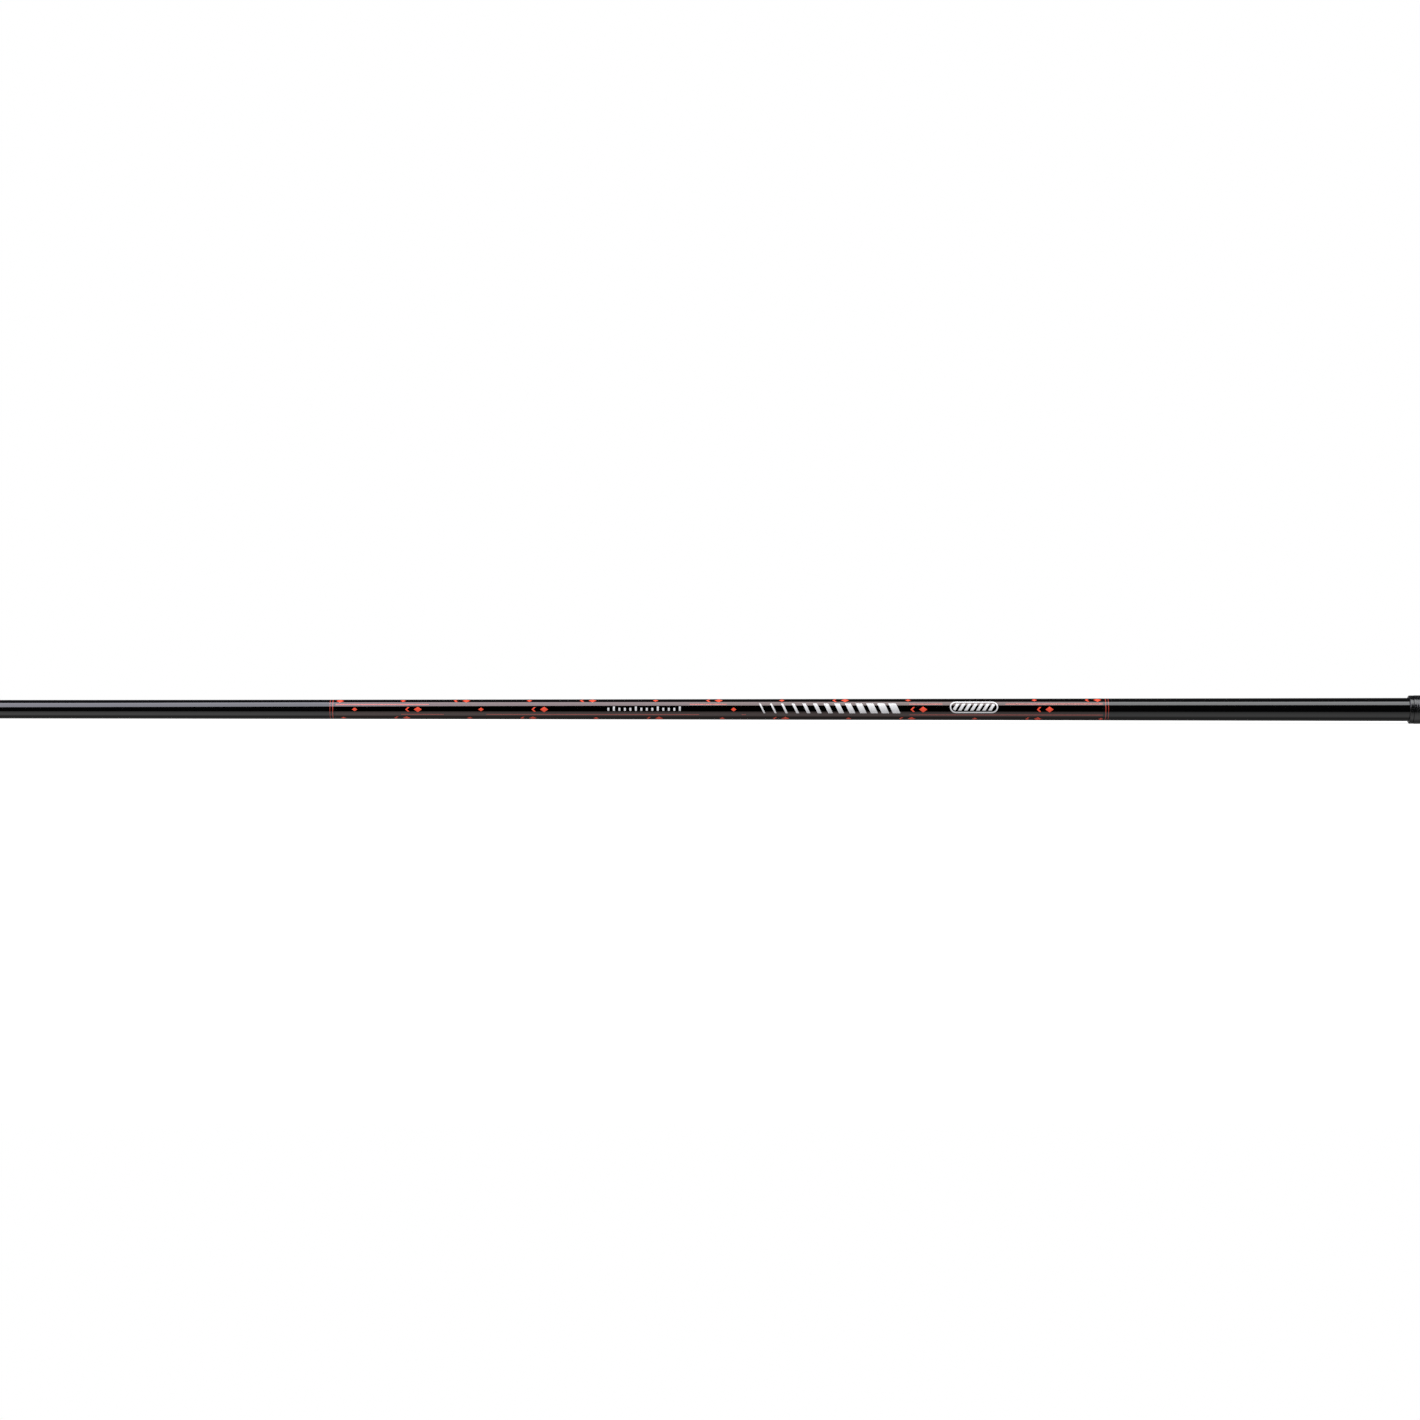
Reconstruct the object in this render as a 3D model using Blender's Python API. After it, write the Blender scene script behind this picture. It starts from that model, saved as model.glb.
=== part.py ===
"""Telescopic pole rod, closed for transport and lying on its side.

Three tapered glass-fibre sections nest in each other. A screw cap closes the butt end and carries the
pad that the inner sections stand on. A plug closes the front end and holds the end of the tip.

Every turned piece is modelled along its own local Z, from the butt towards the tip, and hangs on the
empty rod_axis, which lays that Z along world -X. The origin is the centre of the butt end's face.
"""

import math

import bmesh
import bpy

MM = 0.001
FULL_TURN = 2 * math.pi

# Facets round every turned piece, and round each turn of the thread.
SIDES = 36
THREAD_STEPS = 24

# Gaps between neighbours.
SEAT_GAP = 0.3 * MM  # two faces that rest on each other
GLUE_GAP = 0.1 * MM  # a layer of glue or lacquer
SLIP_GAP = 0.15 * MM  # round a drawn-out section, where its taper locks in the bore

# Butt section.
BUTT_LENGTH = 1050.0 * MM
BUTT_BASE_RADIUS = 8.5 * MM
BUTT_TAPER = 1.7 * MM
BUTT_WALL = 0.95 * MM
TAPER_POWER = 1.25  # above 1, the blank thins faster near the butt than near its front

# Middle section.
MIDDLE_OVERLAP = 85.0 * MM
MIDDLE_TAPER = 1.4 * MM
MIDDLE_WALL = 0.8 * MM
MIDDLE_END_PLAY = 1.5 * MM  # between the middle section's front end and the plug

# Tip section: a hollow tube with a solid rod glued into its front end.
TIP_OVERLAP = 70.0 * MM
TIP_END_RADIUS = 0.8 * MM
TIP_WALL = 0.8 * MM
TIP_TUBE_LENGTH = 620.0 * MM
TIP_SHANK_LENGTH = 40.0 * MM
TIP_STANDS_OUT = 8.0 * MM  # past the butt section's front end, when the pole is closed

# Sleeve on the end of the tip, which the line's cord comes out of.
SLEEVE_LENGTH = 11.0 * MM
SLEEVE_WALL = 0.4 * MM
SLEEVE_NOSE = 1.6 * MM
CORD_HOLE_RADIUS = 0.45 * MM

# Lacquered bands that stop the front ends of the outer sections from splitting.
BAND_SETBACK = 1.2 * MM
BAND_THICKNESS = 0.4 * MM
BAND_ROUNDING = 0.25 * MM
BUTT_BAND_LENGTH = 20.0 * MM
MIDDLE_BAND_LENGTH = 16.0 * MM

# Collar round the butt end of the blank, moulded in one with the threaded skirt glued into its bore.
COLLAR_STEP = 1.8 * MM  # how far the collar stands proud of the blank
COLLAR_LENGTH = 2.8 * MM
COLLAR_EDGE = 1.1 * MM  # rounding of its front edge
COLLAR_COVERS = 0.6 * MM  # length of blank inside the collar
SKIRT_RUN_ON = 5.5 * MM  # length of skirt in front of the cap's spigot
PASSING_GAP = 0.45 * MM  # round the middle section as it is drawn out through the skirt

# Cap.
PARTING_GAP = 0.3 * MM
CAP_LENGTH = 26.6 * MM
CAP_BAND_LENGTH = 1.0 * MM  # smooth band in front of the grooves
CAP_STEP = 0.12 * MM  # how far the grooved body stands proud of the band and the collar
CAP_STEP_LENGTH = 0.3 * MM
CAP_FRONT_ROUNDING = 0.3 * MM
CAP_REAR_ROUNDING = 1.4 * MM
CAP_RIM = 1.85 * MM  # wall round the rubber foot
CAP_WALL = 2.9 * MM  # wall round the hollow inside the cap
CAP_FACE_THICKNESS = 3.2 * MM
CAP_BORE_RADIUS = 4.0 * MM
GROOVE_PITCH = 1.46 * MM
GROOVE_WIDTH = 0.5 * MM
GROOVE_DEPTH = 0.14 * MM
GROOVED_LENGTH = 19.5 * MM

# Thread between the cap's spigot and the skirt's bore.
THREAD_PITCH = 2.0 * MM
THREAD_HEIGHT = 0.5 * MM
THREAD_TURNS = 3.25
THREAD_START = 1.9 * MM  # from the cap's front face to the middle of the thread's first turn
THREAD_BASE_WIDTH = 1.05 * MM
THREAD_CREST_WIDTH = 0.45 * MM
THREAD_GAP = 0.15 * MM
THREAD_ROOT_GAP = 0.2 * MM
THREAD_RELIEF = 0.8 * MM  # plain length of spigot past the thread
THREAD_RUN_OUT = 0.2  # of a turn, over which the ridge rises and falls
RIDGE_SINK = 0.35 * MM  # how deep the ridge is rooted in the spigot
GROOVE_LEAD_IN = 1.5  # turns that the skirt's groove starts before the ridge
GROOVE_LEAD_OUT = 0.25  # turns that it goes on past the ridge

# Rubber ring that seals the cap against the collar.
SEAL_CORD_RADIUS = 0.65 * MM
SEAL_SIDE_GAP = 0.15 * MM
SEAL_INSET = 1.75 * MM  # from the collar's outside to the ring's outside

# Rubber foot let into the cap's rear end, and the pad on the cap's spigot.
FOOT_THICKNESS = 2.2 * MM
FOOT_PROUD = 0.4 * MM
FOOT_ROUNDING = 0.5 * MM
PAD_HEAD = 1.7 * MM
PAD_STEM = 6.0 * MM
PAD_ROUNDING = 0.4 * MM

# Plug in the butt section's front end.
PLUG_SPIGOT = 14.0 * MM
PLUG_KNOB = 16.0 * MM
PLUG_STEP = 2.6 * MM  # how far the knob stands proud of the butt section
PLUG_WAIST = 1.0 * MM
PLUG_FLANGE = 3.0 * MM
PLUG_ROUNDING = 1.5 * MM
PLUG_SOCKET_PLAY = 0.6 * MM
PLUG_SOCKET_SPARE = 1.5 * MM
PLUG_MOUTH_FLARE = 1.6 * MM

# Places along the axis, measured from the butt end's face.
SPIGOT_LENGTH = THREAD_START + THREAD_PITCH * THREAD_TURNS + THREAD_BASE_WIDTH / 2 + THREAD_RELIEF
FACE_OF_CAP = CAP_LENGTH
SPIGOT_END = FACE_OF_CAP + SPIGOT_LENGTH
COLLAR_REAR = FACE_OF_CAP + PARTING_GAP
COLLAR_FRONT = COLLAR_REAR + COLLAR_LENGTH
SKIRT_FRONT = SPIGOT_END + SKIRT_RUN_ON
BUTT_BASE = COLLAR_FRONT - COLLAR_COVERS
BUTT_FRONT = BUTT_BASE + BUTT_LENGTH
PAD_FACE = SPIGOT_END + SEAT_GAP + PAD_HEAD
SECTION_BASE = PAD_FACE + SEAT_GAP
PLUG_SHOULDER = BUTT_FRONT + SEAT_GAP
PLUG_REAR = PLUG_SHOULDER - PLUG_SPIGOT
MIDDLE_LENGTH = PLUG_REAR - MIDDLE_END_PLAY - SECTION_BASE
MIDDLE_FRONT = SECTION_BASE + MIDDLE_LENGTH
TIP_LENGTH = BUTT_FRONT + TIP_STANDS_OUT - SECTION_BASE
SLEEVE_BASE = SECTION_BASE + TIP_LENGTH + SEAT_GAP + SLEEVE_NOSE - SLEEVE_LENGTH


def butt_radius(from_base):
    """Outer radius of the butt section at a distance from its base."""
    share = min(max(1 - from_base / BUTT_LENGTH, 0.0), 1.0)
    return BUTT_BASE_RADIUS - BUTT_TAPER * (1 - share**TAPER_POWER)


def butt_bore(from_base):
    """Inner radius of the butt section at a distance from its base."""
    return butt_radius(from_base) - BUTT_WALL


def middle_radius(from_base):
    """Outer radius of the middle section: its base follows the bore that locks it, and the rest tapers."""
    if from_base <= MIDDLE_OVERLAP:
        return butt_bore(BUTT_LENGTH - MIDDLE_OVERLAP + from_base) - SLIP_GAP
    share = (from_base - MIDDLE_OVERLAP) / (MIDDLE_LENGTH - MIDDLE_OVERLAP)
    return butt_bore(BUTT_LENGTH) - SLIP_GAP - MIDDLE_TAPER * share


def middle_bore(from_base):
    """Inner radius of the middle section at a distance from its base."""
    return middle_radius(from_base) - MIDDLE_WALL


def tip_radius(from_base):
    """Outer radius of the tip section, which locks the same way and tapers to its thin end."""
    if from_base <= TIP_OVERLAP:
        return middle_bore(MIDDLE_LENGTH - TIP_OVERLAP + from_base) - SLIP_GAP
    share = (from_base - TIP_OVERLAP) / (TIP_LENGTH - TIP_OVERLAP)
    thick = middle_bore(MIDDLE_LENGTH) - SLIP_GAP
    return thick + (TIP_END_RADIUS - thick) * share


def tip_bore(from_base):
    """Inner radius of the tip's tube at a distance from its base."""
    return tip_radius(from_base) - TIP_WALL


# Radii that fit into each other.
COLLAR_RADIUS = BUTT_BASE_RADIUS + COLLAR_STEP
CAP_RADIUS = COLLAR_RADIUS + CAP_STEP
FOOT_RADIUS = CAP_RADIUS - CAP_RIM - SEAT_GAP
SKIRT_BORE = middle_radius(0.0) + PASSING_GAP
SPIGOT_RADIUS = SKIRT_BORE - THREAD_GAP
THREAD_CREST = SPIGOT_RADIUS + THREAD_HEIGHT
SEAL_CENTRE_RADIUS = COLLAR_RADIUS - SEAL_INSET - SEAL_CORD_RADIUS
SEAL_GROOVE_DEPTH = 2 * SEAL_CORD_RADIUS + 2 * GLUE_GAP - PARTING_GAP
SLEEVE_BORE = TIP_END_RADIUS + GLUE_GAP
SLEEVE_RADIUS = SLEEVE_BORE + SLEEVE_WALL
PLUG_RADIUS = butt_radius(BUTT_LENGTH) + PLUG_STEP


def clear_scene():
    """Removes whatever the file holds before the pole is made."""
    for obj in list(bpy.data.objects):
        bpy.data.objects.remove(obj, do_unlink=True)


def finish(name, colour, roughness):
    """A Principled material with one colour."""
    material = bpy.data.materials.new(name)
    material.use_nodes = True
    shader = material.node_tree.nodes["Principled BSDF"]
    shader.inputs["Base Color"].default_value = (*colour, 1.0)
    shader.inputs["Roughness"].default_value = roughness
    shader.inputs["Metallic"].default_value = 0.0
    return material


def ellipse(centre_z, centre_r, half_z, half_r, start, end, steps):
    """Points (z, r) on an ellipse; angles in degrees, 0 towards +Z and 90 outwards."""
    points = []
    for i in range(steps + 1):
        angle = math.radians(start + (end - start) * i / steps)
        points.append((centre_z + half_z * math.cos(angle), centre_r + half_r * math.sin(angle)))
    return points


def arc(centre_z, centre_r, radius, start, end, steps):
    """Points (z, r) on a round corner, with the same angles."""
    return ellipse(centre_z, centre_r, radius, radius, start, end, steps)


def stations(length, count):
    """Evenly spaced distances from 0 to length."""
    return [length * i / count for i in range(count + 1)]


def tube_outline(places, outer, bore):
    """Outline of an open tube whose radii are functions of the distance from its base."""
    return [(z, outer(z)) for z in reversed(places)] + [(z, bore(z)) for z in places]


def turned(name, outline, material, parent, z=0.0):
    """Spins the closed outline of (z, r) points round the local Z axis into one solid."""
    shell = bmesh.new()
    points = [shell.verts.new((r, 0.0, height)) for height, r in outline]
    on_axis = [point for point in points if point.co.x == 0.0]
    edges = []
    for first, second in zip(points, points[1:] + points[:1]):
        if not (first in on_axis and second in on_axis):
            edges.append(shell.edges.new((first, second)))
    bmesh.ops.spin(
        shell,
        geom=points + edges,
        cent=(0.0, 0.0, 0.0),
        axis=(0.0, 0.0, 1.0),
        angle=FULL_TURN,
        steps=SIDES,
        use_merge=True,
    )
    bmesh.ops.remove_doubles(shell, verts=shell.verts, dist=1e-7)
    bmesh.ops.recalc_face_normals(shell, faces=shell.faces)
    mesh = bpy.data.meshes.new(name)
    shell.to_mesh(mesh)
    shell.free()
    mesh.shade_smooth()
    mesh.set_sharp_from_angle(angle=math.radians(35))
    mesh.materials.append(material)
    obj = bpy.data.objects.new(name, mesh)
    bpy.context.scene.collection.objects.link(obj)
    obj.parent = parent
    obj.location = (0.0, 0.0, z)
    # Half a facet of turn puts a flat, not an edge, against the surface that the pole lies on.
    obj.rotation_euler = (0.0, 0.0, math.pi / SIDES)
    return obj


def thread_helper(name, parent, inner, crest, widths, turns, fade=None):
    """A helical ridge as a closed solid, to join to a piece or to cut from one.

    It runs from radius inner to radius crest. Its widths are those at its base and its crest, and its
    turns, first and last, count from the thread's start. With a fade, in turns, its ends slope down.
    """
    base_width, crest_width = widths
    first_turn, last_turn = turns
    shell = bmesh.new()
    count = round((last_turn - first_turn) * THREAD_STEPS)
    low = inner + GLUE_GAP
    rings = []
    for i in range(count + 1):
        turn = first_turn + (last_turn - first_turn) * i / count
        rise = min(1.0, (turn - first_turn) / fade, (last_turn - turn) / fade) if fade else 1.0
        top = low + (crest - low) * rise
        middle = THREAD_START + THREAD_PITCH * turn
        section = [
            (inner, middle - base_width / 2),
            (top, middle - crest_width / 2),
            (top, middle + crest_width / 2),
            (inner, middle + base_width / 2),
        ]
        cosine = math.cos(FULL_TURN * turn)
        sine = math.sin(FULL_TURN * turn)
        rings.append([shell.verts.new((r * cosine, r * sine, z)) for r, z in section])
    for here, there in zip(rings, rings[1:]):
        for j in range(len(here)):
            k = (j + 1) % len(here)
            shell.faces.new((here[j], here[k], there[k], there[j]))
    shell.faces.new(rings[0])
    shell.faces.new(rings[-1])
    bmesh.ops.recalc_face_normals(shell, faces=shell.faces)
    mesh = bpy.data.meshes.new(name)
    shell.to_mesh(mesh)
    shell.free()
    obj = bpy.data.objects.new(name, mesh)
    bpy.context.scene.collection.objects.link(obj)
    obj.parent = parent
    obj.location = (0.0, 0.0, FACE_OF_CAP)
    obj.display_type = "WIRE"
    obj.hide_render = True
    return obj


def combine(obj, other, operation):
    """Joins the other solid to obj, or cuts it away, with a Boolean modifier."""
    modifier = obj.modifiers.new(operation.lower(), "BOOLEAN")
    modifier.operation = operation
    modifier.solver = "EXACT"
    modifier.object = other


def make_butt_section(parent, lacquer):
    """The outer blank, with a slow taper and an even wall."""
    outline = tube_outline(stations(BUTT_LENGTH, 10), butt_radius, butt_bore)
    turned("butt_section", outline, lacquer, parent, BUTT_BASE)


def make_middle_section(parent, lacquer):
    """The second blank. Its base is stout enough to lock in the butt section's front end."""
    places = stations(MIDDLE_OVERLAP, 2) + [MIDDLE_LENGTH]
    outline = tube_outline(places, middle_radius, middle_bore)
    turned("middle_section", outline, lacquer, parent, SECTION_BASE)


def make_tip_tube(parent, lacquer):
    """The hollow lower part of the thin blank."""
    places = stations(TIP_OVERLAP, 2) + [TIP_TUBE_LENGTH]
    outline = tube_outline(places, tip_radius, tip_bore)
    turned("tip_tube", outline, lacquer, parent, SECTION_BASE)


def make_tip_rod(parent, lacquer):
    """The solid end of the thin blank, ground down behind its shoulder to go into the tube."""
    shoulder = TIP_TUBE_LENGTH + SEAT_GAP
    shank_rear = TIP_TUBE_LENGTH - TIP_SHANK_LENGTH
    shank = tip_bore(TIP_TUBE_LENGTH) - GLUE_GAP
    outline = [
        (TIP_LENGTH, 0.0),
        (TIP_LENGTH, TIP_END_RADIUS),
        (shoulder, tip_radius(shoulder)),
        (shoulder, shank),
        (shank_rear, shank),
        (shank_rear, 0.0),
    ]
    turned("tip_rod", outline, lacquer, parent, SECTION_BASE)


def make_tip_sleeve(parent, lacquer):
    """A small sleeve glued over the tip's end, with the hole that the line's cord comes out of."""
    floor = SLEEVE_LENGTH - SLEEVE_NOSE
    # The sleeve opens towards its rear as much as the tip thickens there.
    flare = tip_radius(TIP_LENGTH - floor) - TIP_END_RADIUS
    outline = [
        (SLEEVE_LENGTH, CORD_HOLE_RADIUS),
        (SLEEVE_LENGTH, SLEEVE_BORE),
        (floor, SLEEVE_RADIUS),
        (SLEEVE_NOSE, SLEEVE_RADIUS + flare),
        (0.0, SLEEVE_BORE + flare + SLEEVE_WALL / 2),
        (0.0, SLEEVE_BORE + flare),
        (floor, SLEEVE_BORE),
        (floor, CORD_HOLE_RADIUS),
    ]
    turned("tip_sleeve", outline, lacquer, parent, SLEEVE_BASE)


def make_band(name, parent, lacquer, section_base, section_length, section_radius, length):
    """A thin band round a section's front end, with that section's taper and rounded edges."""
    front = section_length - BAND_SETBACK
    rear = front - length
    rounding = min(BAND_ROUNDING, 0.8 * BAND_THICKNESS)
    inside = {z: section_radius(z) + GLUE_GAP for z in (front, rear)}
    outside = {z: inside[z] + BAND_THICKNESS for z in (front, rear)}
    outline = [
        (front, inside[front]),
        (front, outside[front] - rounding),
        (front - rounding, outside[front]),
        (rear + rounding, outside[rear]),
        (rear, outside[rear] - rounding),
        (rear, inside[rear]),
    ]
    turned(name, outline, lacquer, parent, section_base)


def make_collar(parent, plastic):
    """The collar at the butt end and its threaded skirt inside the blank."""
    counterbore = BUTT_BASE_RADIUS + GLUE_GAP
    floor = BUTT_BASE - SEAT_GAP
    skirt = butt_bore(SKIRT_FRONT - BUTT_BASE) - GLUE_GAP
    chamfer = CAP_FRONT_ROUNDING / 2
    edge = min(COLLAR_EDGE, COLLAR_LENGTH - 1.2 * chamfer, 0.9 * (COLLAR_RADIUS - counterbore))
    outline = [(COLLAR_REAR, SKIRT_BORE), (COLLAR_REAR, COLLAR_RADIUS - chamfer)]
    outline.append((COLLAR_REAR + chamfer, COLLAR_RADIUS))
    outline += arc(COLLAR_FRONT - edge, COLLAR_RADIUS - edge, edge, 90, 0, 6)
    outline += [
        (COLLAR_FRONT, counterbore),
        (floor, counterbore),
        (floor, skirt),
        (SKIRT_FRONT, skirt),
        (SKIRT_FRONT, SKIRT_BORE),
    ]
    collar = turned("butt_collar", outline, plastic, parent)
    groove = thread_helper(
        "skirt_groove_cutter",
        parent,
        SKIRT_BORE - RIDGE_SINK,
        THREAD_CREST + THREAD_ROOT_GAP,
        (THREAD_BASE_WIDTH + 2 * THREAD_GAP, THREAD_CREST_WIDTH + 2 * THREAD_GAP),
        (-GROOVE_LEAD_IN, THREAD_TURNS + GROOVE_LEAD_OUT),
    )
    combine(collar, groove, "DIFFERENCE")


def make_cap(parent, plastic):
    """The screw cap: a grooved body, hollow from the rear, and a bored spigot that carries the thread."""
    seal_inner = SEAL_CENTRE_RADIUS - SEAL_CORD_RADIUS - SEAL_SIDE_GAP
    seal_outer = SEAL_CENTRE_RADIUS + SEAL_CORD_RADIUS + SEAL_SIDE_GAP
    seal_floor = FACE_OF_CAP - SEAL_GROOVE_DEPTH
    edge = CAP_FRONT_ROUNDING
    outline = [
        (SPIGOT_END, CAP_BORE_RADIUS),
        (SPIGOT_END, SPIGOT_RADIUS - edge),
        (SPIGOT_END - edge, SPIGOT_RADIUS),
        (FACE_OF_CAP, SPIGOT_RADIUS),
        (FACE_OF_CAP, seal_inner),
        (seal_floor, seal_inner),
        (seal_floor, seal_outer),
        (FACE_OF_CAP, seal_outer),
    ]
    outline += arc(FACE_OF_CAP - edge, COLLAR_RADIUS - edge, edge, 0, 90, 3)
    grip_front = FACE_OF_CAP - CAP_BAND_LENGTH - CAP_STEP_LENGTH
    outline.append((FACE_OF_CAP - CAP_BAND_LENGTH, COLLAR_RADIUS))
    outline.append((grip_front, CAP_RADIUS))
    for i in range(int(GROOVED_LENGTH / GROOVE_PITCH)):
        z = grip_front - GROOVE_PITCH * (i + 0.5)
        outline.append((z + GROOVE_WIDTH / 2, CAP_RADIUS))
        outline.append((z, CAP_RADIUS - GROOVE_DEPTH))
        outline.append((z - GROOVE_WIDTH / 2, CAP_RADIUS))
    rounding = min(CAP_REAR_ROUNDING, 0.9 * CAP_RIM)
    outline += arc(FOOT_PROUD + rounding, CAP_RADIUS - rounding, rounding, 90, 180, 5)
    foot_seat = FOOT_THICKNESS + SEAT_GAP
    hollow = CAP_RADIUS - CAP_WALL
    outline += [
        (FOOT_PROUD, CAP_RADIUS - CAP_RIM),
        (foot_seat, CAP_RADIUS - CAP_RIM),
        (foot_seat, hollow),
        (FACE_OF_CAP - CAP_FACE_THICKNESS, hollow),
        (FACE_OF_CAP - CAP_FACE_THICKNESS, CAP_BORE_RADIUS),
    ]
    cap = turned("butt_cap", outline, plastic, parent)
    ridge = thread_helper(
        "cap_thread_ridge",
        parent,
        SPIGOT_RADIUS - RIDGE_SINK,
        THREAD_CREST,
        (THREAD_BASE_WIDTH, THREAD_CREST_WIDTH),
        (0.0, THREAD_TURNS),
        THREAD_RUN_OUT,
    )
    combine(cap, ridge, "UNION")


def make_seal(parent, rubber):
    """The rubber ring in the cap's front face."""
    centre = COLLAR_REAR - GLUE_GAP - SEAL_CORD_RADIUS
    outline = arc(centre, SEAL_CENTRE_RADIUS, SEAL_CORD_RADIUS, 0, 360, 10)[:-1]
    turned("cap_seal_ring", outline, rubber, parent)


def make_foot(parent, rubber):
    """The rubber disc that the pole stands on, let into the cap's rear end."""
    outline = [
        (FOOT_THICKNESS, 0.0),
        (FOOT_THICKNESS, FOOT_RADIUS),
        (FOOT_ROUNDING, FOOT_RADIUS),
        (0.0, FOOT_RADIUS - FOOT_ROUNDING),
        (0.0, 0.0),
    ]
    turned("cap_foot_disc", outline, rubber, parent)


def make_pad(parent, rubber):
    """The pad on the cap's spigot, which the closed sections stand on, with a stem in the cap's bore."""
    head = SPIGOT_RADIUS - CAP_FRONT_ROUNDING
    stem = CAP_BORE_RADIUS - SEAT_GAP
    under_head = SPIGOT_END + SEAT_GAP
    outline = [
        (PAD_FACE, 0.0),
        (PAD_FACE, head - PAD_ROUNDING),
        (PAD_FACE - PAD_ROUNDING, head),
        (under_head, head),
        (under_head, stem),
        (under_head - PAD_STEM, stem),
        (under_head - PAD_STEM, 0.0),
    ]
    turned("cap_pad", outline, rubber, parent)


def make_plug(parent, rubber):
    """The transport plug: a waisted knob, a spigot and the socket that holds the tip's end."""
    spigot = butt_bore(BUTT_LENGTH) - SLIP_GAP
    knob_front = PLUG_SHOULDER + PLUG_KNOB
    flange_front = PLUG_SHOULDER + PLUG_FLANGE
    socket = SLEEVE_RADIUS + PLUG_SOCKET_PLAY
    socket_end = SLEEVE_BASE + SLEEVE_LENGTH + PLUG_SOCKET_SPARE
    rounding = PLUG_ROUNDING
    waist = PLUG_RADIUS - PLUG_WAIST
    outline = [(knob_front, 0.0)]
    outline += arc(knob_front - rounding, PLUG_RADIUS - rounding, rounding, 0, 90, 4)
    outline += [
        (knob_front - 2 * rounding, PLUG_RADIUS),
        (knob_front - 3 * rounding, waist),
        (flange_front + rounding, waist),
        (flange_front, PLUG_RADIUS),
        (PLUG_SHOULDER + SEAT_GAP, PLUG_RADIUS),
        (PLUG_SHOULDER, PLUG_RADIUS - SEAT_GAP),
        (PLUG_SHOULDER, spigot),
        (PLUG_REAR + rounding, spigot),
        (PLUG_REAR, spigot - rounding / 2),
        (PLUG_REAR, socket + PLUG_MOUTH_FLARE),
        (PLUG_REAR + 2 * PLUG_MOUTH_FLARE, socket),
        (socket_end, socket),
        (socket_end, 0.0),
    ]
    turned("tip_plug", outline, rubber, parent)


def build():
    """Makes every piece at rest: the pole closed, its plug in and its cap screwed home."""
    clear_scene()
    axis = bpy.data.objects.new("rod_axis", None)
    bpy.context.scene.collection.objects.link(axis)
    axis.rotation_euler = (0.0, -math.pi / 2, 0.0)
    blank = finish("gloss_black_blank", (0.008, 0.008, 0.010), 0.12)
    lacquer = finish("clear_coated_band", (0.012, 0.011, 0.011), 0.18)
    plastic = finish("black_moulded_plastic", (0.012, 0.012, 0.013), 0.25)
    rubber = finish("black_rubber", (0.016, 0.016, 0.016), 0.6)
    make_butt_section(axis, blank)
    make_middle_section(axis, blank)
    make_tip_tube(axis, blank)
    make_tip_rod(axis, blank)
    make_tip_sleeve(axis, lacquer)
    butt = (BUTT_BASE, BUTT_LENGTH, butt_radius, BUTT_BAND_LENGTH)
    middle = (SECTION_BASE, MIDDLE_LENGTH, middle_radius, MIDDLE_BAND_LENGTH)
    make_band("butt_front_band", axis, lacquer, *butt)
    make_band("middle_front_band", axis, lacquer, *middle)
    make_collar(axis, plastic)
    make_cap(axis, plastic)
    make_seal(axis, rubber)
    make_foot(axis, rubber)
    make_pad(axis, rubber)
    make_plug(axis, rubber)


build()
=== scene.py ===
"""Looks of a telescopic pole rod, closed for transport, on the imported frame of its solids."""

import math

import bpy
import numpy as np
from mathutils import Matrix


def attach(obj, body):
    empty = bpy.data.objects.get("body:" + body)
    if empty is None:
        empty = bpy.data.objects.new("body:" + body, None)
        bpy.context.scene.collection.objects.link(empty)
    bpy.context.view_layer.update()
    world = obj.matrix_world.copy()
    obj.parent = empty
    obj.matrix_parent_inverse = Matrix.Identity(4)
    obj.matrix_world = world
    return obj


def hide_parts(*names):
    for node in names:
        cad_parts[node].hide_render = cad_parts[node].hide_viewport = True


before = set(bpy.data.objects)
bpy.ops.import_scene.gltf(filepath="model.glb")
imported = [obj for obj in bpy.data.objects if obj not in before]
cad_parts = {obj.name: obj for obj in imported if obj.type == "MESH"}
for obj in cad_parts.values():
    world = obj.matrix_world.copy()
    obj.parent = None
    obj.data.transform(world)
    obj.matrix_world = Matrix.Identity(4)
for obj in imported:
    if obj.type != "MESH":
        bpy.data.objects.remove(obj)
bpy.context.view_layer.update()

# Butt section
# The outer blank: glass-fibre cloth rolled on a tapered mandrel, cured, ground and sprayed deep gloss
# black. Half of its length carries a print of small marks and pinstripes, under the same clear lacquer.

MM = 0.001
TURN = 2 * math.pi
BUTT_BASE = 29.1
BUTT_LENGTH = 1050.0
BUTT_WALL = 0.95
BUTT_BASE_RADIUS = 8.5
BUTT_NARROWS_BY = 1.7
BUTT_CURVE = 1.25
SHARP_EDGE = math.radians(38)
LANES_SHARE = 0.9
LANE_MARGIN = 0.02
LANE_END_MARGIN = 0.004


def butt_radius(from_base):
    """b - n (1 - s ** c), where s is the share of the length still ahead.

    Here b is the radius at the base, n what the blank narrows by, and c how much it is curved.
    """
    ahead = np.clip(1 - np.asarray(from_base, float) / BUTT_LENGTH, 0, 1)
    return BUTT_BASE_RADIUS - BUTT_NARROWS_BY * (1 - ahead**BUTT_CURVE)


def butt_bore(from_base):
    """The outside radius less an even wall."""
    return butt_radius(from_base) - BUTT_WALL


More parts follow.
